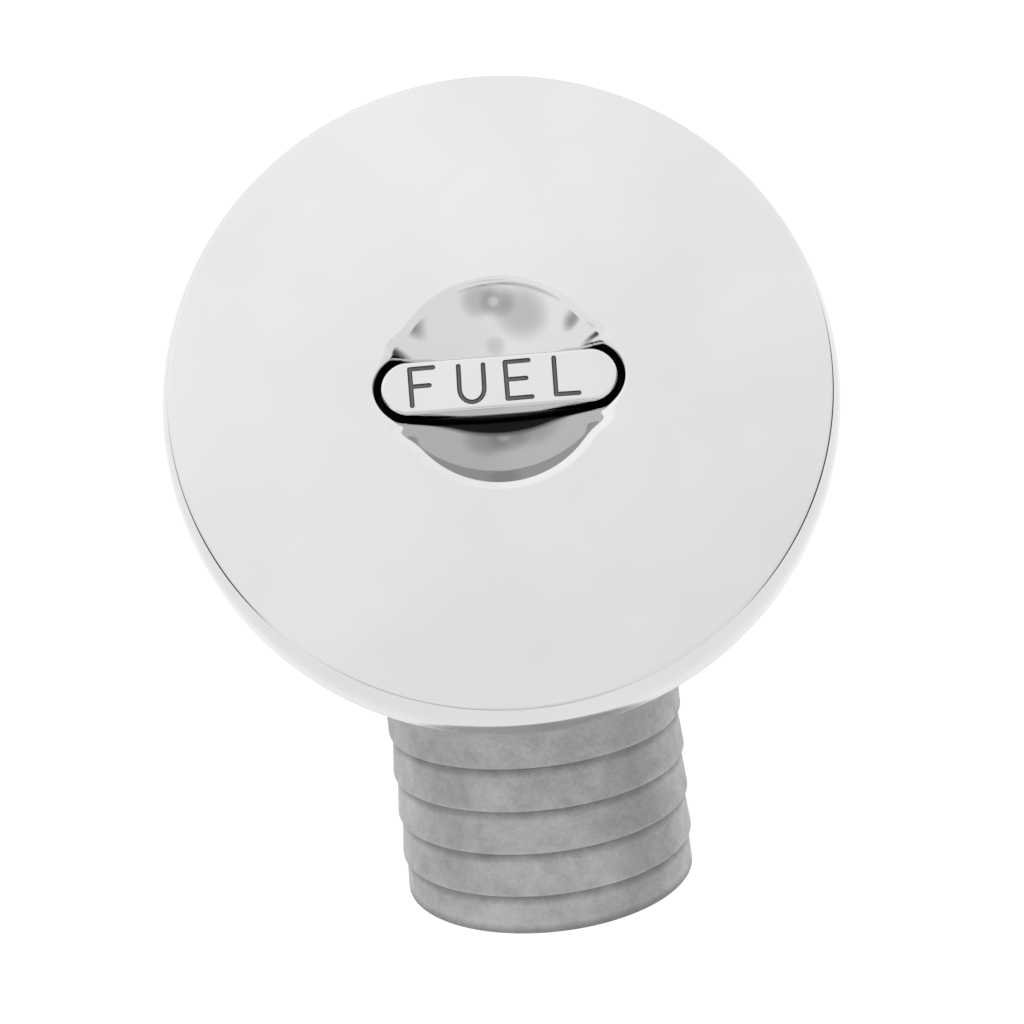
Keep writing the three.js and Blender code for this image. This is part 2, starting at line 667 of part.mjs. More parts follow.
function springWasher({ label, sign }) {
  const bottom = WASHER_TOP_Z - WASHER_THICKNESS;
  const washer = ring(STEM_RADIUS + FIT_GAP, WASHER_RADIUS, bottom, WASHER_TOP_Z, SMALL_STEPS);
  return part("spring_washer_" + label, solid(washer.translate(sign * STEM_X, 0, 0)), materials.turned);
}

function retainingClip({ label, sign }) {
  const inner = STEM_RADIUS - CLIP.inset;
  const mouth = THREE.MathUtils.degToRad(CLIP.mouth);
  const outline = new THREE.Shape();
  outline.absarc(0, 0, CLIP.outer, mouth, 2 * Math.PI - mouth, false);
  outline.absarc(0, 0, inner, 2 * Math.PI - mouth, mouth, true);
  outline.closePath();
  const options = { depth: CLIP_THICKNESS, bevelEnabled: false, curveSegments: SMALL_STEPS };
  const clip = new THREE.ExtrudeGeometry(outline, options)
    .translate(0, 0, CLIP_Z - CLIP_THICKNESS / 2)
    .rotateZ(sign * Math.PI / 2)
    .translate(sign * STEM_X, 0, 0);
  return part("retaining_clip_" + label, solid(clip), materials.spring);
}

// ---------------------------------------------------------------- assembly

const fitting = new THREE.Group();
fitting.add(deckBody(), rimGasket());

const cap = new THREE.Group();
cap.add(capCover(), threadedPlug(), plugGasket(), plugORing());
cap.add(...plugScrewPlaces.map(plugScrew));
cap.add(...sides.map(stemBush), ...sides.map(stemORing), ...sides.map(returnSpring));
cap.rotation.z = CLOSED_TURN;
fitting.add(cap);

const handle = new THREE.Group();
handle.add(gripBar(), ...sides.map(handleStem));
handle.add(...sides.map(springWasher), ...sides.map(retainingClip));
handle.rotation.z = CLOSED_TURN;
fitting.add(handle);

export default fitting;
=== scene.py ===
"""Deck fill cap: the visual model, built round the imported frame.

Lengths are in millimetres until a mesh is made, where MM turns them into metres.
"""

import json
import math

import bmesh
import bpy
from mathutils import Matrix, Vector


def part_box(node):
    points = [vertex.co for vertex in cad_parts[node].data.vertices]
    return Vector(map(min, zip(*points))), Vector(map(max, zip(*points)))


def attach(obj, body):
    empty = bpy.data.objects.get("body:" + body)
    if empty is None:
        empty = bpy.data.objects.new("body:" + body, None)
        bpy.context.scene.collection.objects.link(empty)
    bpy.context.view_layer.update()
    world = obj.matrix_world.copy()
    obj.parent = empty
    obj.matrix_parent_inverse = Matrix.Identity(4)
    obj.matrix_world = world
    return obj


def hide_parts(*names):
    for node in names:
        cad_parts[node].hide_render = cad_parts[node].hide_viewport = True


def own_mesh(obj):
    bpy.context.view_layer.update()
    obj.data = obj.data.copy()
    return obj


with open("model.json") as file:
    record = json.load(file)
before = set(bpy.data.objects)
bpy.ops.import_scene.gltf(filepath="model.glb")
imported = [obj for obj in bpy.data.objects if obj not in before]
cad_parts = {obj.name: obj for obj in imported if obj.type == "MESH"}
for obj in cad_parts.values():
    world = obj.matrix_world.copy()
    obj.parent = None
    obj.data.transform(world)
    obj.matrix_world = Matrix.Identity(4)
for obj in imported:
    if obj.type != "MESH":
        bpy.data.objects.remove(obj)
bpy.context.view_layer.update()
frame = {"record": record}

MM = 0.001


def box_mm(node):
    """A CAD node's lowest and highest corner, in millimetres."""
    low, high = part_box(node)
    return Vector(low) / MM, Vector(high) / MM


# ---------------------------------------------------------------- sizes, in millimetres

cover_low, cover_high = box_mm("cap_cover")
bar_low = box_mm("grip_bar")[0]
body_high = box_mm("deck_body")[1]
stem_middle = sum(box_mm("handle_stem_right"), Vector((0, 0, 0))) / 2
CLOSED_TURN = math.atan2(stem_middle.y, stem_middle.x)  # the closed cap stops just off square

TOP_Z = cover_high.z
RIM_RADIUS = cover_high.x
TOP_EDGE_RADIUS = 0.6
RIM_WIDEST_Z = 3.85
RIM_TAPER, RIM_TAPER_POWER = 1.7, 3.0
RIM_LOWER_RADIUS = 6.5
COVER_BOTTOM_Z = 2.3
RECESS_INNER, RECESS_OUTER, RECESS_Z = 24.8, 36.8, 8.2
GROOVE_INNER, GROOVE_OUTER = 38.0, 40.8
BOSS_RADIUS = 18.4
BOSS_BOTTOM_Z = cover_low.z
PLUG_SEAT_Z = 5.0
STEM_HOLE_RADIUS = 2.3
BUSH_SEAT_RADIUS, BUSH_SEAT_TOP_Z = 3.3, 3.0
PLUG_SCREW_HOLE_RADIUS, PLUG_SCREW_HOLE_TOP_Z = 1.65, 3.5

DISH_LIP_RADIUS = 14.1
DISH_LIP_FILLET = 1.8
DISH_DEPTH = 5.4
POCKET_LENGTH = 31.5
POCKET_WIDTH = 7.7
POCKET_FLOOR_Z = 5.4
POCKET_EDGE = 0.35
CORNER_BLEND = 1.2
CORNER_REACH, CORNER_AT, CORNER_SPREAD, CORNER_POWER = 1.1, 22.0, 8.0, 1.5
LEAST_BLEND = 0.02  # where dish and pocket meet at the pocket's floor
END_CROWDING = 0.35  # how far the facets round the hollow crowd towards the pocket's ends

BAR_LENGTH = 29.8
BAR_WIDTH = 6.9
BAR_BOTTOM_Z = bar_low.z
STEM_X = stem_middle.xy.length
STEM_RADIUS = 2.0
STEM_SOCKET_RADIUS, STEM_SOCKET_TOP_Z = 2.15, 8.7

FLANGE_RIM_Z = 2.0
FLANGE_LAND_Z = body_high.z
LAND_INNER, LAND_OUTER = 25.3, 36.3
THROAT_RADIUS = 21.3
THROAT_OUTER_RADIUS = 26.0
ELBOW_Z = -12.9
ELBOW_OUTER_RADIUS = 22.5
ELBOW_INNER_RADIUS = 19.0
NECK_TILT = math.radians(60)
NECK_RADIUS = 20.5
NECK_BORE_RADIUS = 17.0
NECK_LENGTH = 63.8
NECK_END_FILLET = 0.6
RING_STEP = 0.5
RING_PITCH = 6.1
RING_COUNT = 4
FIRST_RING = 39.9
DECK_HOLES = [90, 210, 330]
DECK_HOLE_CIRCLE = 31.0
DECK_HOLE_RADIUS = 2.6

PLUG_RADIUS = 20.9
PLUG_BOTTOM_Z = -9.0
WEB_TOP_Z, WEB_BOTTOM_Z = -2.2, -4.6
CUP_HALF_WIDTH = 5.6
CUP_WALL = 1.0
CUP_BOTTOM_Z = -19.4
PLUG_SCREW_OFFSET = 10.6

THREAD_PITCH = 4.0
THREAD_CENTRE_RADIUS = 21.1
BEAD_RADIUS = 1.1
BEAD_START_Z = -7.2
BEAD_TURNS = 2.0

FINE, MEDIUM, SMALL = 256, 128, 64  # facets round large, middling and small turned pieces

# ---------------------------------------------------------------- camera

CAMERA_DISTANCE = 281.0  # from the centre of the top face
CAMERA_ELEVATION = math.radians(71.69)
CAMERA_AZIMUTH = math.radians(-0.31)
CAMERA_ROLL = math.radians(5.78)
LENS_MM = 78.996
SENSOR_MM = 36.0
TOP_CENTRE_ON_SENSOR = (-0.4535, -4.6055)  # millimetres across and down from the sensor's middle


def make_camera():
    """A camera that sees the top face's centre up from the middle of the frame, as if hand-held."""
    azimuth, elevation = CAMERA_AZIMUTH, CAMERA_ELEVATION
    back = Vector(
        (
            math.sin(azimuth) * math.cos(elevation),
            -math.cos(azimuth) * math.cos(elevation),
            math.sin(elevation),
        )
    )
    right = Vector((math.cos(azimuth), math.sin(azimuth), 0))
    up = right.cross(-back)
    turn_c, turn_s = math.cos(CAMERA_ROLL), math.sin(CAMERA_ROLL)
    image_x = right * turn_c - up * turn_s
    image_down = -(right * turn_s + up * turn_c)
    looking = Matrix((image_x, -image_down, back)).transposed()
    across, down = TOP_CENTRE_ON_SENSOR
    sight = Vector((across, -down, -LENS_MM)).normalized()
    aim = sight.rotation_difference(Vector((0, 0, -1))).to_matrix()
    data = bpy.data.cameras.new("camera")
    data.sensor_width = SENSOR_MM
    data.lens = LENS_MM
    data.clip_start, data.clip_end = 0.01, 20
    camera = bpy.data.objects.new("camera", data)
    bpy.context.collection.objects.link(camera)
    place = (Vector((0, 0, TOP_Z)) + back * CAMERA_DISTANCE) * MM
    camera.matrix_world = Matrix.Translation(place) @ (looking @ aim).to_4x4()
    bpy.context.scene.camera = camera
    return camera


make_camera()

# ---------------------------------------------------------------- mesh helpers


def keep_flats_flat(mesh):
    """Creases the border of each level top, so that a fillet's shading doesn't spill onto it."""
    bm = bmesh.new()
    bm.from_mesh(mesh)
    for edge in bm.edges:
        level = [face.normal.z > 0.999999 for face in edge.link_faces]
        if any(level) and not all(level):
            edge.smooth = False
    bm.to_mesh(mesh)
    bm.free()


def new_object(name, mesh, material, smooth_angle=30):
    mesh.materials.clear()
    mesh.materials.append(material)
    mesh.shade_smooth()
    mesh.set_sharp_from_angle(angle=math.radians(smooth_angle))
    keep_flats_flat(mesh)
    made = bpy.data.objects.new(name, mesh)
    bpy.context.collection.objects.link(made)
    return made


def mesh_from(build):
    """A mesh in metres from what build(bm) draws in millimetres, with its faces turned out."""
    bm = bmesh.new()
    build(bm)
    bmesh.ops.recalc_face_normals(bm, faces=bm.faces)
    bm.transform(Matrix.Scale(MM, 4))
    mesh = bpy.data.meshes.new("shape")
    bm.to_mesh(mesh)
    bm.free()
    return mesh


def arc(centre_r, centre_z, radius, start, end, steps):
    """Points of an arc in the (radius, height) plane, angles in degrees from straight out."""
    angles = [math.radians(start + (end - start) * i / steps) for i in range(steps + 1)]
    return [(centre_r + radius * math.cos(a), centre_z + radius * math.sin(a)) for a in angles]


def rounded(corners, radius, steps=5, closed=False):
    """The corners of a profile with each inner one rounded off, by less where its sides are short."""
    count = len(corners)
    points = []
    for i, corner in enumerate(corners):
        if not closed and i in (0, count - 1):
            points.append(corner)
            continue
        here = Vector(corner)
        before = Vector(corners[i - 1]) - here
        after = Vector(corners[(i + 1) % count]) - here
        turn = before.angle(after)
        if turn > math.radians(165):
            points.append(corner)
            continue
        reach = min(radius / math.tan(turn / 2), before.length * 0.4, after.length * 0.4)
        start = here + before.normalized() * reach
        end = here + after.normalized() * reach
        for k in range(steps + 1):
            t = k / steps
            spot = start * (1 - t) ** 2 + here * 2 * t * (1 - t) + end * t**2
            points.append(tuple(spot))
    return points


def spin(bm, profile, steps, closed=False):
    """A body of revolution about Z. An open profile starts and ends on the axis."""
    rings = []
    for radius, height in profile:
        if radius < 1e-6:
            rings.append([bm.verts.new((0, 0, height))])
            continue
        turns = [2 * math.pi * i / steps for i in range(steps)]
        ring = [bm.verts.new((radius * math.cos(a), radius * math.sin(a), height)) for a in turns]
        rings.append(ring)
    if closed:
        rings.append(rings[0])
    for lower, upper in zip(rings, rings[1:]):
        for i in range(steps):
            j = (i + 1) % steps
            quad = [lower[i % len(lower)], lower[j % len(lower)]]
            quad += [upper[j % len(upper)], upper[i % len(upper)]]
            corners = list(dict.fromkeys(quad))
            if len(corners) > 2:
                bm.faces.new(corners)


def turned(profile, steps=MEDIUM, closed=False, matrix=None):
    def build(bm):
        spin(bm, profile, steps, closed)
        if matrix:
            bm.transform(matrix)

    return mesh_from(build)


def ring_section(inner, outer, bottom, top):
    return [(inner, bottom), (outer, bottom), (outer, top), (inner, top)]


def stadium_loop(length, width, z, steps=24):
    """Points round a flat bar's outline with round ends, along X."""
    reach, radius = (length - width) / 2, width / 2
    points = []
    for side in (1, -1):
        for i in range(steps + 1):
            angle = math.radians(-90 + 180 * i / steps)
            x = side * (reach + radius * math.cos(angle))
            points.append((x, side * radius * math.sin(angle), z))
    return points


def stack(bm, loops):
    """Closed skin through outlines of equal count, capped flat at both ends."""
    rows = [[bm.verts.new(point) for point in loop] for loop in loops]
    count = len(rows[0])
    for lower, upper in zip(rows, rows[1:]):
        for i in range(count):
            j = (i + 1) % count
            bm.faces.new((lower[i], lower[j], upper[j], upper[i]))
    bm.faces.new(list(reversed(rows[0])))
    bm.faces.new(rows[-1])


def stadium_block(length, width, sections, steps=24):
    """A bar with round ends; each section is (how far the outline is drawn in, height)."""
    return mesh_from(
        lambda bm: stack(
            bm, [stadium_loop(length - 2 * inset, width - 2 * inset, z, steps) for inset, z in sections]
        )
    )


def edge_sections(bottom, top, bottom_fillet, top_fillet, steps=6):
    """Sections of a block whose bottom and top edges are rounded."""
    turns = [math.pi / 2 * i / steps for i in range(steps + 1)]
    low = [
        (bottom_fillet * (1 - math.sin(a)), bottom + bottom_fillet * (1 - math.cos(a))) for a in turns
    ]
    high = [(top_fillet * (1 - math.cos(a)), top - top_fillet * (1 - math.sin(a))) for a in turns]
    return low + high


def sweep(bm, points, radius, sides=12, dome=True):
    """A round bar along a line of points; its ends are domed, or flat."""
    points = [Vector(p) for p in points]
    tangents = []
    for i in range(len(points)):
        ahead = points[min(i + 1, len(points) - 1)] - points[max(i - 1, 0)]
        tangents.append(ahead.normalized())
    side = tangents[0].orthogonal().normalized()
    rows = []

    def add_row(centre, tangent, size):
        nonlocal side
        side = (side - tangent * side.dot(tangent)).normalized()
        other = tangent.cross(side)
        turns = [2 * math.pi * k / sides for k in range(sides)]
        rows.append(
            [centre + (side * math.cos(a) + other * math.sin(a)) * size for a in turns]
        )

    cap = [math.radians(a) for a in (80, 60, 40, 20)] if dome else []
    for a in cap:
        add_row(points[0] - tangents[0] * radius * math.sin(a), tangents[0], radius * math.cos(a))
    for point, tangent in zip(points, tangents):
        add_row(point, tangent, radius)
    for a in reversed(cap):
        add_row(points[-1] + tangents[-1] * radius * math.sin(a), tangents[-1], radius * math.cos(a))
    stack(bm, rows)


def helix_points(radius, start_z, pitch, turns, start_turn=0.0, steps_per_turn=48):
    count = round(turns * steps_per_turn)
    points = []
    for i in range(count + 1):
        turn = turns * i / count
        angle = 2 * math.pi * (start_turn + turn)
        points.append((radius * math.cos(angle), radius * math.sin(angle), start_z + pitch * turn))
    return points


def carve(mesh, *steps):
    """mesh after each (operation, tool mesh), worked out with manifold booleans."""
    base = bpy.data.objects.new("base", mesh)
    bpy.context.collection.objects.link(base)
    tools = []
    for number, (operation, tool_mesh) in enumerate(steps):
        tool = bpy.data.objects.new("tool", tool_mesh)
        bpy.context.collection.objects.link(tool)
        tools.append(tool)
        modifier = base.modifiers.new(f"step_{number}", "BOOLEAN")
        modifier.operation = operation
        modifier.solver = "MANIFOLD"
        modifier.object = tool
    graph = bpy.context.evaluated_depsgraph_get()
    result = bpy.data.meshes.new_from_object(base.evaluated_get(graph))
    for item in [base, *tools]:
        bpy.data.objects.remove(item)
    return result


def moved(mesh, x=0.0, y=0.0, z=0.0):
    copy = mesh.copy()
    copy.transform(Matrix.Translation((x * MM, y * MM, z * MM)))
    return copy


# ---------------------------------------------------------------- materials


RANGE_SOCKETS = ("From Min", "From Max", "To Min", "To Max")


class Nodes:
    """A small builder for one material's node tree."""

    def __init__(self, name):
        self.material = bpy.data.materials.new(name)
        self.material.use_nodes = True
        self.tree = self.material.node_tree
        self.shader = self.tree.nodes["Principled BSDF"]
        self.place = self.tree.nodes.new("ShaderNodeTexCoord").outputs["Object"]
        self.normal = self.tree.nodes.new("ShaderNodeTexCoord").outputs["Normal"]

    def link(self, source, target):
        self.tree.links.new(source, target)

    def noise(self, scale, detail=3.0, roughness=0.5, distortion=0.0, stretch=None):
        node = self.tree.nodes.new("ShaderNodeTexNoise")
        node.inputs["Scale"].default_value = scale
        node.inputs["Detail"].default_value = detail
        node.inputs["Roughness"].default_value = roughness
        node.inputs["Distortion"].default_value = distortion
        if stretch:
            mapping = self.tree.nodes.new("ShaderNodeMapping")
            mapping.inputs["Scale"].default_value = stretch
            self.link(self.place, mapping.inputs["Vector"])
            self.link(mapping.outputs["Vector"], node.inputs["Vector"])
        else:
            self.link(self.place, node.inputs["Vector"])
        return node.outputs["Fac"]

    def span(self, value, low, high, out_low, out_high):
        node = self.tree.nodes.new("ShaderNodeMapRange")
        self.link(value, node.inputs["Value"])
        for socket, number in zip(RANGE_SOCKETS, (low, high, out_low, out_high)):
            node.inputs[socket].default_value = number
        return node.outputs["Result"]

    def sum(self, first, second, operation="ADD"):
        node = self.tree.nodes.new("ShaderNodeMath")
        node.operation = operation
        for socket, value in zip(node.inputs, (first, second)):
            if isinstance(value, float):
                socket.default_value = value
            else:
                self.link(value, socket)
        return node.outputs["Value"]

    def axis(self, vector, direction):
        """How far a vector reaches along a direction."""
        node = self.tree.nodes.new("ShaderNodeVectorMath")
        node.operation = "DOT_PRODUCT"
        self.link(vector, node.inputs[0])
        node.inputs[1].default_value = direction
        return node.outputs["Value"]

    def length(self, vector):
        node = self.tree.nodes.new("ShaderNodeVectorMath")
        node.operation = "LENGTH"
        self.link(vector, node.inputs[0])
        return node.outputs["Value"]

    def size(self, value):
        return self.sum(value, 0.0, "ABSOLUTE")

    def below(self, value, limit):
        return self.sum(value, float(limit), "LESS_THAN")

    def above(self, value, limit):
        return self.sum(value, float(limit), "GREATER_THAN")

    def larger(self, first, second):
        return self.sum(first, second, "MAXIMUM")

    def product(self, *values):
        result = values[0]
        for value in values[1:]:
            result = self.sum(result, value, "MULTIPLY")
        return result

    def darken(self, share, to):
        """The base colour so far, times a number that goes from 1 to `to` as share goes from 0 to 1."""
        before = self.shader.inputs["Base Color"].links[0].from_socket
        node = self.tree.nodes.new("ShaderNodeVectorMath")
        node.operation = "SCALE"
        self.link(before, node.inputs[0])
        self.link(self.span(share, 0.0, 1.0, 1.0, to), node.inputs["Scale"])
        self.link(node.outputs["Vector"], self.shader.inputs["Base Color"])

    def colours(self, value, stops):
        node = self.tree.nodes.new("ShaderNodeValToRGB")
        ramp = node.color_ramp
        while len(ramp.elements) < len(stops):
            ramp.elements.new(0.5)
        for element, (position, colour) in zip(ramp.elements, stops):
            element.position = position
            element.color = (*colour, 1)
        self.link(value, node.inputs["Fac"])
        self.link(node.outputs["Color"], self.shader.inputs["Base Color"])

    def bump(self, height, strength, distance, previous=None):
        node = self.tree.nodes.new("ShaderNodeBump")
        node.inputs["Strength"].default_value = strength
        node.inputs["Distance"].default_value = distance
        self.link(height, node.inputs["Height"])
        if previous:
            self.link(previous, node.inputs["Normal"])
        self.link(node.outputs["Normal"], self.shader.inputs["Normal"])
        return node.outputs["Normal"]

    def metal(self):
        self.shader.inputs["Metallic"].default_value = 1.0

    def rough(self, value):
        self.link(value, self.shader.inputs["Roughness"])


def grey(value):
    return (value, value, value)


# Where polished_steel carries painted shade (the stamped letters and the slot round the bar), and where its
# low rim is rougher, in millimetres from the part's origin along and across the bar.
LETTERED_HALF_LENGTH, LETTERED_HALF_WIDTH = 12.5, 2.8
LETTER_LEAST_DEPTH, LETTER_MOST_DEPTH = 0.03, 0.5
SLOT_HALF_LENGTH, SLOT_ALLOWANCE = 15.85, 0.05
SLOT_SHADE_FULL_Z, SLOT_CLEAR_Z = 8.9, 9.5
SLOT_END_STARTS_X, SLOT_END_FULL_X = 12.2, 13.4
SLOT_END_SHADE_FULL_Z, SLOT_END_CLEAR_Z = 10.6, 11.2
RIM_FROM_ORIGIN = 40.0
RIM_HAZE, RIM_HAZE_FULL_Z, RIM_HAZE_ENDS_Z = 0.26, 4.0, 9.5


def polished_steel():
    """Mirror-polished stainless steel: faint waviness, haze and a few fine scuffs.
    Faces that look down, and the stamped letters, are rougher, never having met the buffing wheel; their
    dark colour is painted shade.
    The slot round the grip bar carries painted shade by place, after the photo's black gap. The bar's own
    lower sides carry it too, and a raised bar shows them as a black band. The low rim is rougher than the
    rest."""
    n = Nodes("polished_steel")
    n.metal()
    haze = n.noise(60, 2)
    up = n.axis(n.normal, (0, 0, 1))
    turned_down = n.span(up, -0.35, -0.15, 1.0, 0.0)
    cos_turn, sin_turn = math.cos(CLOSED_TURN), math.sin(CLOSED_TURN)
    x = n.size(n.axis(n.place, (cos_turn, sin_turn, 0)))
    y = n.size(n.axis(n.place, (-sin_turn, cos_turn, 0)))
    z = n.axis(n.place, (0, 0, 1))
    lettered = n.product(n.below(x, LETTERED_HALF_LENGTH * MM), n.below(y, LETTERED_HALF_WIDTH * MM))
    letter_top, letter_floor = (TOP_Z - LETTER_LEAST_DEPTH) * MM, (TOP_Z - LETTER_MOST_DEPTH) * MM
    sunk = n.product(lettered, n.below(z, letter_top), n.above(z, letter_floor))
    slot = n.product(n.below(x, SLOT_HALF_LENGTH * MM), n.below(y, (POCKET_WIDTH / 2 + SLOT_ALLOWANCE) * MM))
    slot_ends = n.product(slot, n.span(x, SLOT_END_STARTS_X * MM, SLOT_END_FULL_X * MM, 0.0, 1.0))
    # painted shade: low down in the slot round the grip bar, and on the bar's own lower sides
    low_down = n.product(slot, n.span(z, SLOT_SHADE_FULL_Z * MM, SLOT_CLEAR_Z * MM, 1.0, 0.0))
    low_ends = n.product(slot_ends, n.span(z, SLOT_END_SHADE_FULL_Z * MM, SLOT_END_CLEAR_Z * MM, 1.0, 0.0))
    slot_shade = n.larger(low_down, low_ends)
    # painted shade and a rougher finish: the faces that look down and the stamped letters
    shaded_and_dull = n.larger(turned_down, sunk)
    n.colours(haze, [(0.3, grey(0.61)), (0.7, grey(0.64))])
    # painted shade: the faces that look down and the stamped letters are darkened
    n.darken(shaded_and_dull, 0.22)
    # painted shade in the slot round the grip bar and on the bar's lower sides
    n.darken(slot_shade, 0.03)
    scuffs = n.span(n.noise(900, 2, stretch=(1, 14, 1)), 0.66, 0.74, 0.0, 0.06)
    shine = n.sum(n.span(haze, 0.3, 0.7, 0.03, 0.05), scuffs)
    off_axis = n.length(n.place)
    up_the_rim = n.span(z, RIM_HAZE_FULL_Z * MM, RIM_HAZE_ENDS_Z * MM, RIM_HAZE, 0.0)
    low_rim = n.product(n.above(off_axis, RIM_FROM_ORIGIN * MM), up_the_rim)
    n.rough(n.sum(n.sum(shine, low_rim), n.span(n.larger(shaded_and_dull, slot_shade), 0.0, 1.0, 0.0, 0.45)))
    n.bump(n.noise(45, 1), 0.02, 0.0002)
    return n.material


def cast_steel():
    """Tumbled casting: finely mottled and matt, with painted shade under each ring's step on the neck and
    round the neck's end.
    """
    n = Nodes("cast_steel")
    n.metal()
    broad = n.noise(90, 3, 0.5)
    middle = n.noise(420, 4, 0.6)
    fine = n.noise(1900, 3, 0.6)
    mottle = n.sum(n.span(broad, 0.3, 0.7, 0.0, 0.4), n.span(middle, 0.3, 0.7, 0.0, 0.35))
    mixed = n.sum(mottle, n.span(fine, 0.3, 0.7, 0.0, 0.25))
    n.colours(mixed, [(0.1, grey(0.34)), (0.5, grey(0.42)), (0.9, grey(0.50))])
    along = n.axis(n.place, (0, -math.sin(NECK_TILT) / MM, -math.cos(NECK_TILT) / MM))
    from_elbow = n.sum(along, ELBOW_Z * math.cos(NECK_TILT))
    wander = n.span(n.noise(300, 3), 0.3, 0.7, -0.12, 0.12)
    band = n.sum(n.sum(from_elbow, wander), -FIRST_RING)
    phase = n.sum(n.sum(band, RING_PITCH, "DIVIDE"), 1.0, "FRACT")
    under_step = n.product(n.span(phase, 0.03, 0.24, 1.0, 0.0), n.above(phase, 0.01))
    ring_step_shade = n.product(n.above(band, 0.0), n.below(band, (RING_COUNT - 0.2) * RING_PITCH), under_step)
    # painted shade under the step of each ring on the neck
    n.darken(ring_step_shade, 0.5)
    # painted shade round the neck's end fillet, darkening over its last 1.5 mm
    n.darken(n.span(from_elbow, NECK_LENGTH - 1.5, NECK_LENGTH + 0.2, 0.0, 1.0), 0.3)
    polished = n.above(n.axis(n.place, (0, 0, 1)), -0.3 * MM)
    matt = n.span(polished, 0.0, 1.0, 1.0, 0.0)
    n.rough(n.sum(n.product(n.span(mixed, 0.3, 0.7, 0.55, 0.46), matt), 0.05))
    coarse = n.bump(n.product(middle, matt), 0.3, 0.00015)
    n.bump(n.product(fine, matt), 0.3, 0.00005, coarse)
    return n.material


def turned_steel():
    n = Nodes("turned_steel")
    n.metal()
    lines = n.noise(500, 2, stretch=(0.05, 0.05, 8))
    n.colours(lines, [(0.3, grey(0.58)), (0.7, grey(0.68))])
    n.rough(n.span(lines, 0.3, 0.7, 0.24, 0.36))
    n.bump(lines, 0.25, 0.00003)
    return n.material


def spring_steel():
    n = Nodes("spring_steel")
    n.metal()
    drawn = n.noise(900, 3)
    n.colours(drawn, [(0.3, grey(0.46)), (0.7, grey(0.58))])
    n.rough(n.span(drawn, 0.3, 0.7, 0.28, 0.42))
    n.bump(drawn, 0.2, 0.00003)
    return n.material


def bronze():
    n = Nodes("bronze")
    n.metal()
    tone = n.noise(400, 3)
    n.colours(tone, [(0.3, (0.52, 0.34, 0.14)), (0.7, (0.70, 0.48, 0.22))])
    n.rough(n.span(tone, 0.3, 0.7, 0.3, 0.45))
    n.bump(tone, 0.2, 0.00004)
    return n.material


def black_rubber():
    n = Nodes("black_rubber")
    tone = n.noise(700, 4)
    n.colours(tone, [(0.3, grey(0.014)), (0.7, grey(0.03))])
    n.rough(n.span(tone, 0.3, 0.7, 0.6, 0.8))
    n.bump(tone, 0.3, 0.00005)
    return n.material


def fibre_sheet():
    n = Nodes("fibre_sheet")
    tone = n.noise(900, 5, 0.7, stretch=(1, 4, 1))
    n.colours(tone, [(0.25, (0.20, 0.14, 0.09)), (0.75, (0.42, 0.32, 0.22))])
    n.rough(n.span(tone, 0.3, 0.7, 0.75, 0.95))
    n.bump(tone, 0.5, 0.0001)
    return n.material


FLOOR_GLOW = 0.25  # turns the background white, as in the photo


def pale_floor():
    n = Nodes("pale_floor")
    tone = n.noise(3, 2)
    n.colours(tone, [(0.3, grey(0.82)), (0.7, grey(0.84))])
    n.rough(n.span(tone, 0.3, 0.7, 0.85, 0.95))
    n.shader.inputs["Emission Color"].default_value = (1, 1, 1, 1)
    n.shader.inputs["Emission Strength"].default_value = FLOOR_GLOW
    return n.material


MATERIALS = {
    "polished_steel": polished_steel(),
    "cast_steel": cast_steel(),
    "turned_steel": turned_steel(),
    "spring_steel": spring_steel(),
    "bronze": bronze(),
    "black_rubber": black_rubber(),
    "fibre_sheet": fibre_sheet(),
}

BODY_OF = {
    node: body for body, nodes in frame["record"]["behaviour"]["bodies"].items() for node in nodes
}
SLOT_OF = {entry["node"]: entry["material_slot"] for entry in frame["record"]["subparts"]}


def stand_for(node, mesh, smooth_angle=30):
    """A finished piece in place of a CAD node, on its body and in its material."""
    slot, body = SLOT_OF[node], BODY_OF[node]
    if body in ("cap", "handle"):
        mesh.transform(Matrix.Rotation(CLOSED_TURN, 4, "Z"))
    piece = new_object(node + "_fine", mesh, MATERIALS[slot], smooth_angle)
    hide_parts(node)
    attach(piece, body)
    return piece


# ---------------------------------------------------------------- cap cover


def rim_radius_at(z):
    rise = z - RIM_WIDEST_Z
    if rise > 0:
        return RIM_RADIUS - RIM_TAPER * (rise / (TOP_Z - RIM_WIDEST_Z)) ** RIM_TAPER_POWER
    return RIM_RADIUS - RIM_LOWER_RADIUS + math.sqrt(RIM_LOWER_RADIUS**2 - rise**2)


def rim_points(start, end, steps):
    heights = [start + (end - start) * i / steps for i in range(steps + 1)]
    return [(rim_radius_at(z), z) for z in heights]


LIP_CENTRE_Z = TOP_Z - DISH_LIP_FILLET
DISH_FLOOR_Z = TOP_Z - DISH_DEPTH
DISH_DROP = LIP_CENTRE_Z - DISH_FLOOR_Z
BOWL_RADIUS = (DISH_LIP_RADIUS**2 + DISH_DROP**2 - DISH_LIP_FILLET**2) / (2 * DISH_DEPTH)
BOWL_CENTRE_Z = DISH_FLOOR_Z + BOWL_RADIUS
BOWL_SLOPE = math.atan2(BOWL_CENTRE_Z - LIP_CENTRE_Z, DISH_LIP_RADIUS)
BOWL_TOP_Z = LIP_CENTRE_Z + DISH_LIP_FILLET * math.sin(BOWL_SLOPE)


def dish_radius_at(z):
    if z < BOWL_TOP_Z:
        return math.sqrt(max(BOWL_RADIUS**2 - (BOWL_CENTRE_Z - z) ** 2, 0))
    rise = min(z - LIP_CENTRE_Z, DISH_LIP_FILLET)
    return DISH_LIP_RADIUS - math.sqrt(DISH_LIP_FILLET**2 - rise**2)


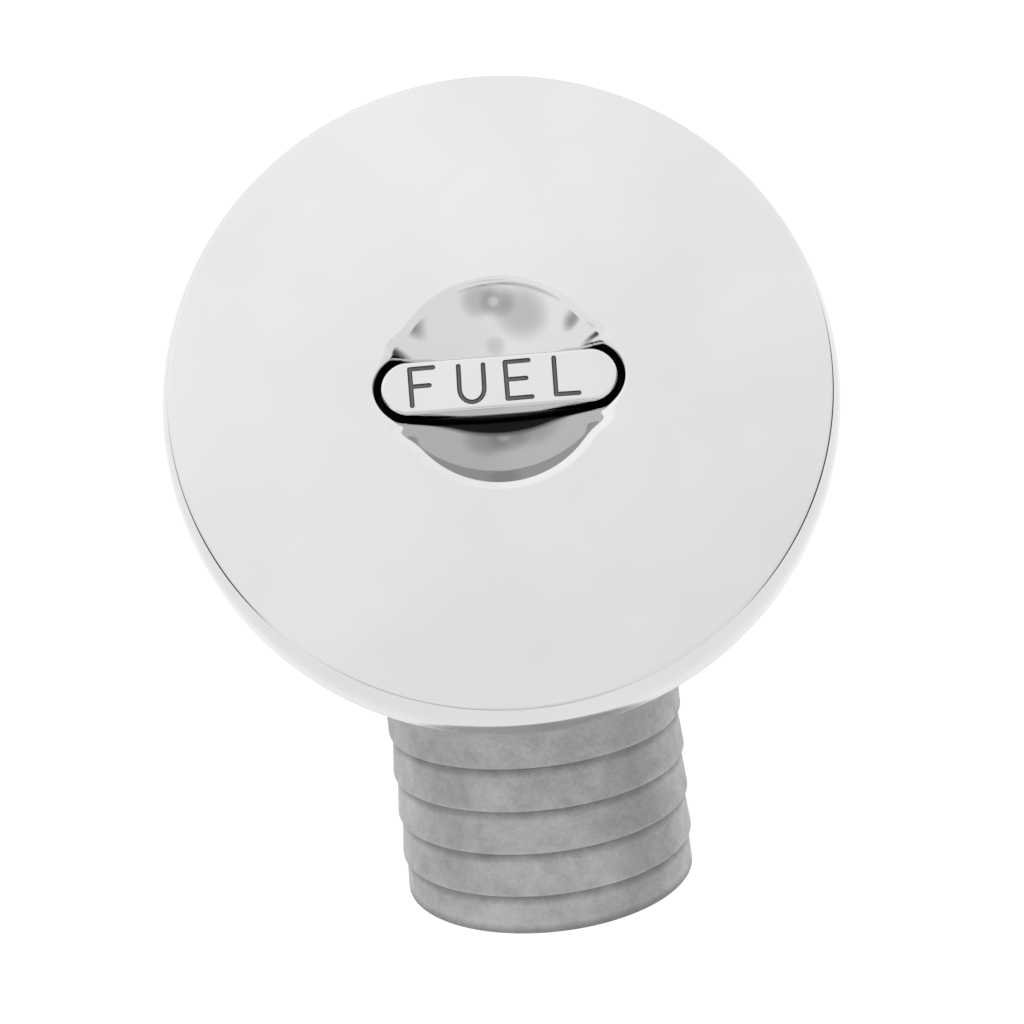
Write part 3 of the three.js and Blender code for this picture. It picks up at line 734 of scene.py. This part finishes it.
def pocket_reach(angle, flare):
    """How far the pocket's wall is from the centre, at an angle off the bar's line."""
    across, along = abs(math.sin(angle)), abs(math.cos(angle))
    radius = POCKET_WIDTH / 2 + flare
    end_centre = (POCKET_LENGTH - POCKET_WIDTH) / 2
    if across * end_centre >= radius * along:
        return radius / across
    return end_centre * along + math.sqrt(radius**2 - (end_centre * across) ** 2)


def smooth_max(a, b, blend):
    overlap = max(blend - abs(a - b), 0) / blend
    return max(a, b) + overlap**2 * blend / 4


def hollow_outline(z, wall_z, steps):
    """One level of the hollow; the corners between dish and pocket are ground back to a soft eye."""
    rise = min(max(wall_z - TOP_Z + POCKET_EDGE, 0), POCKET_EDGE)
    flare = POCKET_EDGE - math.sqrt(POCKET_EDGE**2 - rise**2)
    height = (wall_z - POCKET_FLOOR_Z) / (TOP_Z - POCKET_FLOOR_Z)
    blend = CORNER_BLEND * height + LEAST_BLEND
    dish = dish_radius_at(wall_z)
    points = []
    for i in range(steps):
        even = 2 * math.pi * i / steps
        angle = even - END_CROWDING * math.sin(2 * even)
        off_bar = math.degrees(math.asin(abs(math.sin(angle))))
        near_corner = math.exp(-(((off_bar - CORNER_AT) / CORNER_SPREAD) ** 2))
        reach = smooth_max(dish, pocket_reach(angle, flare), blend)
        reach += CORNER_REACH * near_corner * height**CORNER_POWER
        points.append((reach * math.cos(angle), reach * math.sin(angle), z))
    return points


def hollow_tool(steps=288, bowl_levels=40, lip_levels=24):
    """The finger dish and the bar's pocket as one cutter."""
    clear_of_pocket = math.acos(POCKET_WIDTH / 2 / BOWL_RADIUS)
    turns = [clear_of_pocket + (BOWL_SLOPE - clear_of_pocket) * i / bowl_levels for i in range(bowl_levels)]
    levels = [POCKET_FLOOR_Z] + [BOWL_CENTRE_Z - BOWL_RADIUS * math.sin(turn) for turn in turns]
    turns = [BOWL_SLOPE + (math.pi / 2 - BOWL_SLOPE) * i / lip_levels for i in range(lip_levels + 1)]
    levels += [LIP_CENTRE_Z + DISH_LIP_FILLET * math.sin(turn) for turn in turns]
    loops = [hollow_outline(z, z, steps) for z in levels]
    loops.append(hollow_outline(TOP_Z + 1, TOP_Z, steps))
    return mesh_from(lambda bm: stack(bm, loops))


def cover_profile():
    under = rounded(
        [
            (0, BOSS_BOTTOM_Z),
            (BOSS_RADIUS, BOSS_BOTTOM_Z),
            (BOSS_RADIUS, PLUG_SEAT_Z),
            (RECESS_INNER, PLUG_SEAT_Z),
            (RECESS_INNER, RECESS_Z),
            (RECESS_OUTER, RECESS_Z),
            (RECESS_OUTER, COVER_BOTTOM_Z),
            (GROOVE_INNER, COVER_BOTTOM_Z),
            (GROOVE_INNER, COVER_BOTTOM_Z + 1.6),
            (GROOVE_OUTER, COVER_BOTTOM_Z + 1.6),
            (GROOVE_OUTER, COVER_BOTTOM_Z),
            (rim_radius_at(COVER_BOTTOM_Z), COVER_BOTTOM_Z),
        ],
        0.4,
    )[:-1]
    edge_r = rim_radius_at(TOP_Z - TOP_EDGE_RADIUS) - TOP_EDGE_RADIUS
    lower_edge = arc(rim_radius_at(COVER_BOTTOM_Z) - 0.3, COVER_BOTTOM_Z + 0.3, 0.3, -90, 0, 6)
    side = rim_points(COVER_BOTTOM_Z + 0.4, TOP_Z - TOP_EDGE_RADIUS - 0.05, 40)
    edge = arc(edge_r, TOP_Z - TOP_EDGE_RADIUS, TOP_EDGE_RADIUS, 20, 90, 10)
    flat = [(edge_r - 0.1, TOP_Z), (edge_r - 0.5, TOP_Z), (edge_r - 6, TOP_Z), (0, TOP_Z)]
    return under + lower_edge + side + edge + flat


def plug_screw_places():
    corners = ((1, 1), (-1, 1), (-1, -1), (1, -1))
    return [(sx * PLUG_SCREW_OFFSET, sy * PLUG_SCREW_OFFSET) for sx, sy in corners]


def bore_tool(radius, bottom, top):
    return turned([(0, bottom), (radius, bottom), (radius, top), (0, top)], SMALL)


def cap_cover():
    steps = [("DIFFERENCE", hollow_tool())]
    bottom = BOSS_BOTTOM_Z - 1
    for side in (-1, 1):
        hole = bore_tool(STEM_HOLE_RADIUS, bottom, TOP_Z)
        seat = bore_tool(BUSH_SEAT_RADIUS, bottom, BUSH_SEAT_TOP_Z)
        steps += [("DIFFERENCE", moved(hole, side * STEM_X)), ("DIFFERENCE", moved(seat, side * STEM_X))]
    for x, y in plug_screw_places():
        hole = bore_tool(PLUG_SCREW_HOLE_RADIUS, bottom, PLUG_SCREW_HOLE_TOP_Z)
        steps.append(("DIFFERENCE", moved(hole, x, y)))
    return stand_for("cap_cover", carve(turned(cover_profile(), FINE), *steps))


cap_cover()

# ---------------------------------------------------------------- grip bar

LETTER_HEIGHT = 4.8
LETTER_WIDTH = 3.1
LETTER_PITCH = 6.0
STROKE_RADIUS = 0.3


def letter_strokes():
    """Generic capitals, each a list of strokes in a box one unit wide and one unit tall."""
    half_turn = [math.pi * i / 12 for i in range(13)]
    curve = [(0.5 - 0.5 * math.cos(a), 0.36 - 0.36 * math.sin(a)) for a in half_turn]
    return {
        "F": [[(0, 0), (0, 1)], [(0, 1), (0.95, 1)], [(0, 0.52), (0.75, 0.52)]],
        "U": [[(0, 1), *curve, (1, 1)]],
        "E": [[(0, 0), (0, 1)], [(0, 1), (0.95, 1)], [(0, 0.52), (0.8, 0.52)], [(0, 0), (0.98, 0)]],
        "L": [[(0, 1), (0, 0)], [(0, 0), (0.92, 0)]],
    }


def engraving_tools():
    """Round-bottomed strokes, set a little unevenly as hand-struck letters are."""
    uneven = {
        "F": (0.0, 0.05, 0.8),
        "U": (0.05, -0.06, -0.9),
        "E": (-0.04, 0.03, 0.5),
        "L": (0.05, 0.08, -0.6),
    }
    word = "FUEL"
    strokes = letter_strokes()
    tools = []
    for index, letter in enumerate(word):
        shift_x, shift_y, turn = uneven[letter]
        turn_matrix = Matrix.Rotation(math.radians(turn), 3, "Z")
        middle = Vector(((index - (len(word) - 1) / 2) * LETTER_PITCH - 0.5 + shift_x, shift_y, TOP_Z))
        for stroke in strokes[letter]:
            points = [
                middle + turn_matrix @ Vector(((u - 0.5) * LETTER_WIDTH, (v - 0.5) * LETTER_HEIGHT, 0))
                for u, v in stroke
            ]
            tools.append(mesh_from(lambda bm, line=points: sweep(bm, line, STROKE_RADIUS, 16)))
    return tools


def grip_bar():
    block = stadium_block(BAR_LENGTH, BAR_WIDTH, edge_sections(BAR_BOTTOM_Z, TOP_Z, 0.4, 0.45, 8), 40)
    steps = [("DIFFERENCE", tool) for tool in engraving_tools()]
    for side in (-1, 1):
        socket = bore_tool(STEM_SOCKET_RADIUS, BAR_BOTTOM_Z - 1, STEM_SOCKET_TOP_Z)
        steps.append(("DIFFERENCE", moved(socket, side * STEM_X)))
    return stand_for("grip_bar", carve(block, *steps))


grip_bar()

# ---------------------------------------------------------------- deck body

NECK_MATRIX = Matrix.Translation((0, 0, ELBOW_Z)) @ Matrix.Rotation(math.pi - NECK_TILT, 4, "X")


def neck_profile():
    """Along the neck from the elbow's centre: a flared root, then bands that widen and step in."""
    root = [
        (22.4, 2.0), (22.1, 4.5), (21.6, 7.5), (21.15, 10.5), (20.85, 13.5), (20.65, 17.0), (20.55, 22.0),
    ]
    points = [(0, 0), (ELBOW_OUTER_RADIUS - 0.02, 0.0), *root]
    small = NECK_RADIUS - RING_STEP
    for i in range(RING_COUNT):
        step_at = FIRST_RING + i * RING_PITCH
        points += [
            (NECK_RADIUS - 0.04, step_at - 0.7),
            (NECK_RADIUS, step_at - 0.35),
            (NECK_RADIUS - 0.03, step_at - 0.15),
            (NECK_RADIUS - 0.12, step_at - 0.04),
            (small + 0.1, step_at + 0.1),
            (small, step_at + 0.2),
            (small - 0.04, step_at + 0.4),
            (small, step_at + 0.75),
            (small + 0.06, step_at + 1.3),
        ]
    last, fillet = NECK_RADIUS - RING_STEP / 2, NECK_END_FILLET
    points += arc(last - fillet, NECK_LENGTH - fillet, fillet, 3, 90, 10)
    points += [(NECK_BORE_RADIUS + 0.5, NECK_LENGTH), (0, NECK_LENGTH)]
    return points


def throat_profile():
    ball = arc(0, ELBOW_Z, ELBOW_OUTER_RADIUS, -90, 0, 48)
    wall = [(22.9, -11.5), (23.7, -10.0), (24.7, -8.2), (25.5, -6.4), (25.95, -4.4), (26, -3.2)]
    foot = arc(THROAT_OUTER_RADIUS + 2, -2, 2, 180, 90, 8)
    rim = rim_points(0.35, FLANGE_RIM_Z - 0.2, 12)
    land = rounded(
        [
            (rim_radius_at(FLANGE_RIM_Z), FLANGE_RIM_Z),
            (LAND_OUTER, FLANGE_RIM_Z),
            (LAND_OUTER, FLANGE_LAND_Z),
            (LAND_INNER, FLANGE_LAND_Z),
            (LAND_INNER, FLANGE_RIM_Z),
            (0, FLANGE_RIM_Z),
        ],
        0.3,
    )[1:]
    edge = [(rim_radius_at(0) - 0.4, 0.0), (rim_radius_at(0) - 0.05, 0.08)]
    return [(0, ball[0][1])] + ball[1:] + wall + foot + edge + rim + [(rim_radius_at(2) - 0.2, 2.0)] + land


def throat_tool():
    mouth = FLANGE_LAND_Z + 2
    return [
        (0, ELBOW_Z - ELBOW_INNER_RADIUS),
        *arc(0, ELBOW_Z, ELBOW_INNER_RADIUS, -90, 0, 32)[1:],
        (THROAT_RADIUS, -10.4),
        (THROAT_RADIUS, 1.2),
        (THROAT_RADIUS + 1.8, 3.0),
        (THROAT_RADIUS + 1.8, mouth),
        (0, mouth),
    ]


def deck_hole(degrees):
    angle = math.radians(degrees)
    top = FLANGE_LAND_Z
    profile = [(0, -1), (DECK_HOLE_RADIUS, -1), (DECK_HOLE_RADIUS, top - 2.4), (6.0, top + 1), (0, top + 1)]
    centre = DECK_HOLE_CIRCLE * Vector((math.cos(angle), math.sin(angle)))
    return moved(turned(profile, SMALL), centre.x, centre.y)


def deck_body():
    neck = turned(neck_profile(), FINE, matrix=NECK_MATRIX)
    bore_end = NECK_LENGTH + 2
    bore = [
        (0, 0), (NECK_BORE_RADIUS, 0), (NECK_BORE_RADIUS, NECK_LENGTH - 0.5),
        (NECK_BORE_RADIUS + 0.6, NECK_LENGTH + 0.1), (NECK_BORE_RADIUS + 0.6, bore_end), (0, bore_end),
    ]
    lead_in = 1 / 12
    start_z, turns = BEAD_START_Z - lead_in * THREAD_PITCH, BEAD_TURNS + lead_in + 1
    groove = helix_points(THREAD_CENTRE_RADIUS, start_z, THREAD_PITCH, turns, -lead_in)
    steps = [
        ("UNION", neck),
        ("DIFFERENCE", turned(throat_tool(), FINE)),
        ("DIFFERENCE", turned(bore, FINE, matrix=NECK_MATRIX)),
        ("DIFFERENCE", mesh_from(lambda bm: sweep(bm, groove, 1.5, 16, dome=True))),
    ]
    steps += [("DIFFERENCE", deck_hole(degrees)) for degrees in DECK_HOLES]
    return stand_for("deck_body", carve(turned(throat_profile(), FINE), *steps), 28)


deck_body()

# ---------------------------------------------------------------- seals, plug and screws


def rim_gasket():
    low, high = box_mm("rim_gasket")
    profile = rounded(ring_section(38.3, 40.5, low.z, high.z), 0.25, closed=True)
    return stand_for("rim_gasket", turned(profile, FINE, closed=True))


def plug_o_ring():
    low, high = box_mm("plug_o_ring")
    middle, radius = (low.z + high.z) / 2, (high.z - low.z) / 2
    profile = arc(high.x - radius, middle, radius, 0, 360, 24)[:-1]
    return stand_for("plug_o_ring", turned(profile, FINE, closed=True))


def cup_block(inset, bottom, top, bottom_fillet):
    width = 2 * (CUP_HALF_WIDTH - inset)
    sections = edge_sections(bottom, top, bottom_fillet, 0.01, 6)
    return stadium_block(2 * STEM_X + width, width, sections, 32)


def plug_screw_hole(x, y):
    head, shank = 3.1, 1.65
    profile = [
        (0, WEB_BOTTOM_Z - 1), (head + 1, WEB_BOTTOM_Z - 1),
        (shank, WEB_BOTTOM_Z + head - shank), (shank, WEB_TOP_Z + 1), (0, WEB_TOP_Z + 1),
    ]
    return moved(turned(profile, SMALL), x, y)


def threaded_plug():
    top = PLUG_SEAT_Z - 0.3
    profile = rounded(
        [
            (0, WEB_BOTTOM_Z), (BOSS_RADIUS, WEB_BOTTOM_Z), (BOSS_RADIUS, PLUG_BOTTOM_Z),
            (PLUG_RADIUS - 0.8, PLUG_BOTTOM_Z), (PLUG_RADIUS, PLUG_BOTTOM_Z + 0.8), (PLUG_RADIUS, top),
            (BOSS_RADIUS + 0.3, top), (BOSS_RADIUS + 0.3, WEB_TOP_Z), (0, WEB_TOP_Z),
        ],
        0.35,
    )
    bead = helix_points(THREAD_CENTRE_RADIUS, BEAD_START_Z, THREAD_PITCH, BEAD_TURNS)
    steps = [
        ("UNION", mesh_from(lambda bm: sweep(bm, bead, BEAD_RADIUS, 16))),
        ("UNION", cup_block(0, CUP_BOTTOM_Z, WEB_TOP_Z - 0.3, 1.2)),
        ("DIFFERENCE", cup_block(CUP_WALL, CUP_BOTTOM_Z + 1.2, WEB_TOP_Z + 1, 0.6)),
    ]
    steps += [("DIFFERENCE", plug_screw_hole(x, y)) for x, y in plug_screw_places()]
    return stand_for("threaded_plug", carve(turned(profile, FINE), *steps))


def plug_gasket():
    low, high = box_mm("plug_gasket")
    profile = [(0, low.z), (high.x, low.z), (high.x, high.z), (0, high.z)]
    steps = [("DIFFERENCE", cup_block(CUP_WALL, low.z - 1, high.z + 1, 0.1))]
    for x, y in plug_screw_places():
        hole = turned([(0, low.z - 1), (1.65, low.z - 1), (1.65, high.z + 1), (0, high.z + 1)], SMALL)
        steps.append(("DIFFERENCE", moved(hole, x, y)))
    return stand_for("plug_gasket", carve(turned(rounded(profile, 0.1), FINE), *steps))


def plug_screw(number, x, y):
    profile = rounded(
        [
            (0, WEB_BOTTOM_Z), (2.8, WEB_BOTTOM_Z), (1.35, WEB_BOTTOM_Z + 1.45),
            (1.35, 2.4), (0.85, 2.9), (0, 2.9),
        ],
        0.12,
    )
    bottom, top = WEB_BOTTOM_Z - 1, WEB_BOTTOM_Z + 1.2
    socket = turned([(0, bottom), (1.1, bottom), (1.1, top), (0, top + 0.3)], 6)
    mesh = carve(turned(profile, SMALL), ("DIFFERENCE", socket))
    return stand_for(f"plug_screw_{number}", moved(mesh, x, y))


rim_gasket()
plug_o_ring()
threaded_plug()
plug_gasket()
for screw_number, (screw_x, screw_y) in enumerate(plug_screw_places(), start=1):
    plug_screw(screw_number, screw_x, screw_y)

# ---------------------------------------------------------------- stems, bushes and springs


def stem(label, x):
    low, high = box_mm("handle_stem_" + label)
    radius, groove = STEM_RADIUS, STEM_RADIUS - 0.5
    profile = rounded(
        [
            (0, low.z), (radius, low.z), (radius, -16.7), (groove, -16.7), (groove, -15.7),
            (radius, -15.7), (radius, high.z), (0, high.z),
        ],
        0.3,
    )
    return stand_for("handle_stem_" + label, moved(turned(profile, SMALL), x))


def bush(label, x):
    low, high = box_mm("stem_bush_" + label)
    flange_top = low.z + 0.8
    profile = rounded(
        [(2.25, low.z), (4, low.z), (4, flange_top), (3.05, flange_top), (3.05, high.z), (2.25, high.z)],
        0.15,
        closed=True,
    )
    return stand_for("stem_bush_" + label, moved(turned(profile, SMALL, closed=True), x))


def stem_o_ring(label, x):
    profile = arc(2.72, 2.15, 0.45, 0, 360, 16)[:-1]
    return stand_for("stem_o_ring_" + label, moved(turned(profile, SMALL, closed=True), x))


def return_spring(label, x):
    """Closed and ground ends, open turns between."""
    low, high = box_mm("return_spring_" + label)
    wire, radius, turns = 0.4, 3.0, 6.0
    count = 240
    points = []
    for i in range(count + 1):
        t = i / count
        ease = t + math.sin(2 * math.pi * t) * -0.06
        angle = 2 * math.pi * turns * t
        z = low.z + wire + (high.z - low.z - 2 * wire) * ease
        points.append((x + radius * math.cos(angle), radius * math.sin(angle), z))
    mesh = mesh_from(lambda bm: sweep(bm, points, wire, 12, dome=False))
    spring = stand_for("return_spring_" + label, mesh)
    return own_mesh(spring)


def spring_washer(label, x):
    low, high = box_mm("spring_washer_" + label)
    profile = rounded(ring_section(2.3, 4, low.z, high.z), 0.15, closed=True)
    return stand_for("spring_washer_" + label, moved(turned(profile, SMALL, closed=True), x))


def retaining_clip(label, side):
    low, high = box_mm("retaining_clip_" + label)
    mouth = math.radians(35)
    facing = side * math.pi / 2
    outline = []
    for radius, order in ((3.4, 1), (1.7, -1)):
        angles = [mouth + (2 * math.pi - 2 * mouth) * i / 48 for i in range(49)][::order]
        outline += [(radius * math.cos(a + facing), radius * math.sin(a + facing)) for a in angles]
    rows = [[(x + side * STEM_X, y, z) for x, y in outline] for z in (low.z, high.z)]
    return stand_for("retaining_clip_" + label, mesh_from(lambda bm: stack(bm, rows)))


for side_label, side_sign in (("left", -1), ("right", 1)):
    stem(side_label, side_sign * STEM_X)
    bush(side_label, side_sign * STEM_X)
    stem_o_ring(side_label, side_sign * STEM_X)
    return_spring(side_label, side_sign * STEM_X)
    spring_washer(side_label, side_sign * STEM_X)
    retaining_clip(side_label, side_sign)

# ---------------------------------------------------------------- studio


FRONT_STRENGTH, BACK_STRENGTH = 1.14, 1.33
SIDE_STRENGTH = 0.045  # what the left has more than the middle, and the right less

# Patches of the sky, placed so that the polished faces reflect about what they do in the photo. Each is the
# azimuth and elevation it is seen at, the angles from there at which it is full and at which it ends, all in
# degrees, and the share of the brightness it leaves. All but the fourth are dim.
SKY_PATCHES = [
    (0, 72, 2, 9, 0.8),
    (10, 36, 1, 16, 0.66),
    (-6, 39, 1, 15, 0.66),
    (-2, 39, 0.5, 5, 1.5),
    (-30, 44, 2, 24, 0.66),
    (-78, 22, 4, 16, 0.06),
    (84, 2, 20, 38, 0.01),
    (-84, -2, 8, 30, 0.05),
]


def studio_world():
    """White all round, brighter towards the back and a little towards the left, with SKY_PATCHES in it.
    It was tuned to one picture and is not a record of the room the photo was taken in."""
    world = bpy.data.worlds.new("studio")
    world.use_nodes = True
    bpy.context.scene.world = world
    tree = world.node_tree
    background = tree.nodes["Background"]
    direction = tree.nodes.new("ShaderNodeTexCoord").outputs["Generated"]

    def math_node(operation, first, second):
        node = tree.nodes.new("ShaderNodeMath")
        node.operation = operation
        for socket, value in zip(node.inputs, (first, second)):
            if isinstance(value, (int, float)):
                socket.default_value = value
            else:
                tree.links.new(value, socket)
        return node.outputs["Value"]

    def facing(azimuth, elevation):
        a, e = math.radians(azimuth), math.radians(elevation)
        node = tree.nodes.new("ShaderNodeVectorMath")
        node.operation = "DOT_PRODUCT"
        tree.links.new(direction, node.inputs[0])
        node.inputs[1].default_value = (math.sin(a) * math.cos(e), -math.cos(a) * math.cos(e), math.sin(e))
        return node.outputs["Value"]

    def smooth(value, low, high, out_low, out_high):
        node = tree.nodes.new("ShaderNodeMapRange")
        node.interpolation_type = "SMOOTHSTEP"
        tree.links.new(value, node.inputs["Value"])
        for socket, number in zip(RANGE_SOCKETS, (low, high, out_low, out_high)):
            node.inputs[socket].default_value = number
        return node.outputs["Result"]

    towards_back = smooth(facing(180, 0), 0.10, 0.50, FRONT_STRENGTH, BACK_STRENGTH)
    towards_left = smooth(facing(-90, 0), -0.2, 0.2, -SIDE_STRENGTH, SIDE_STRENGTH)
    level = math_node("ADD", towards_back, towards_left)
    for azimuth, elevation, inner, outer, share in SKY_PATCHES:
        edge, core = math.cos(math.radians(outer)), math.cos(math.radians(inner))
        patch = smooth(facing(azimuth, elevation), edge, core, 1.0, share)
        level = math_node("MULTIPLY", level, patch)
    tree.links.new(level, background.inputs["Strength"])
    background.inputs["Color"].default_value = (1, 1, 1, 1)


FLOOR_HALF_SIZE_M, FLOOR_Z_M = 2.0, -0.11


def floor():
    size = FLOOR_HALF_SIZE_M / MM
    mesh = mesh_from(lambda bm: bmesh.ops.create_grid(bm, x_segments=8, y_segments=8, size=size))
    mesh.transform(Matrix.Translation((0, 0, FLOOR_Z_M)))
    ground = new_object("floor", mesh, pale_floor())


studio_world()
floor()
bpy.context.scene.view_settings.view_transform = "Standard"
